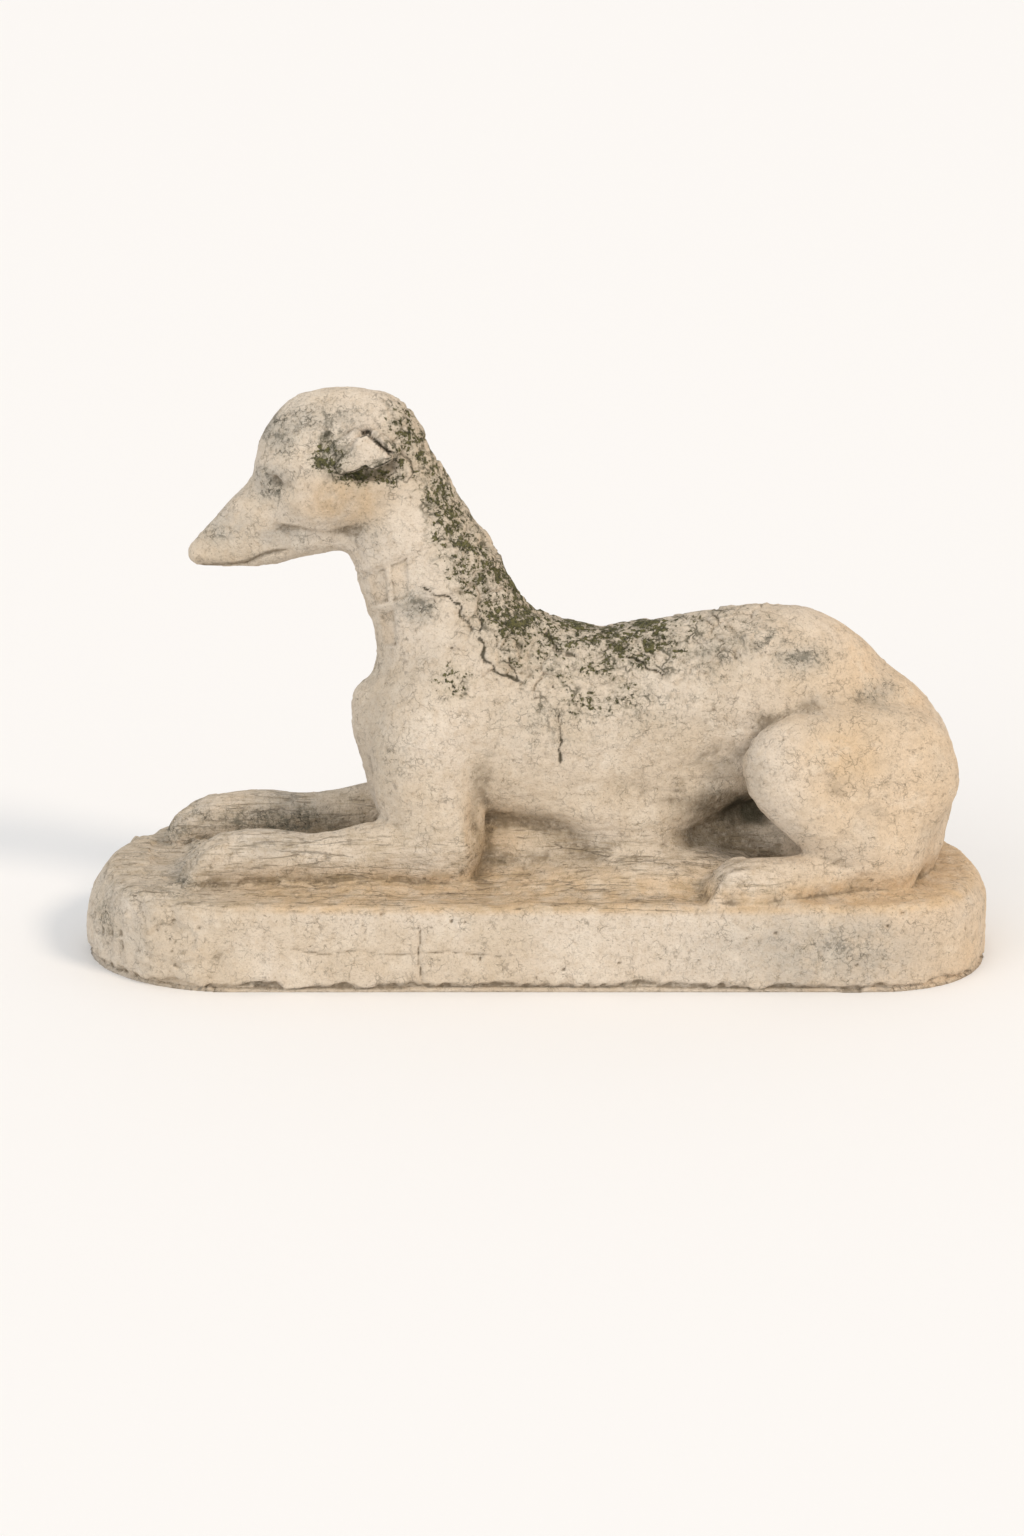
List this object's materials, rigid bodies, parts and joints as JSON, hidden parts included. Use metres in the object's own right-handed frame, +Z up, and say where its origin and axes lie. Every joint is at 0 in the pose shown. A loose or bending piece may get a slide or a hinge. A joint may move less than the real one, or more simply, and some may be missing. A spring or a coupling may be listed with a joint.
{
  "type": "garden statue",
  "caption": "Weathered limestone garden statue of a greyhound lying with its head raised on a low oval plinth, carved in one block with it; stands by its own weight.",
  "frame": {"origin": "middle of the flat underside of the plinth", "axes": "+Z up, the hound's head towards -X, its rump towards +X, its left side towards -Y"},
  "size_m": [0.9994, 0.3401, 0.6258],
  "materials": {
    "limestone": "dry, weathered, with moss and lichen"
  },
  "bodies": {
    "root": {"greyhound_on_plinth": "limestone"}
  },
  "joints": []
}
